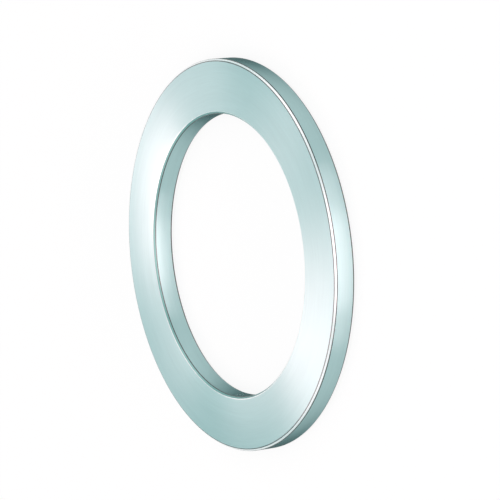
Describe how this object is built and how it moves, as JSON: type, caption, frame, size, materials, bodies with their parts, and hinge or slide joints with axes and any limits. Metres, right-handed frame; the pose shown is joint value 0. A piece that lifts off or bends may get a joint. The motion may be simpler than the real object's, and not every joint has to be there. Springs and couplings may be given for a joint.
{
  "type": "thrust washer",
  "caption": "Flat ring-shaped steel thrust washer with broken edges, which gives an axial roller bearing a hard, flat track on a shaft or in a housing.",
  "frame": {"origin": "centre of the back face, on the surface that the washer lies on", "axes": "+Z along the bore axis, from the back face to the front face; the ring is the same all round, so +X and +Y are free"},
  "size_m": [0.09, 0.09, 0.0052],
  "materials": {
    "ground_steel": "fine turned and ground, satin, cool grey-green sheen"
  },
  "bodies": {
    "root": {"thrust_washer": "ground_steel"}
  },
  "joints": []
}
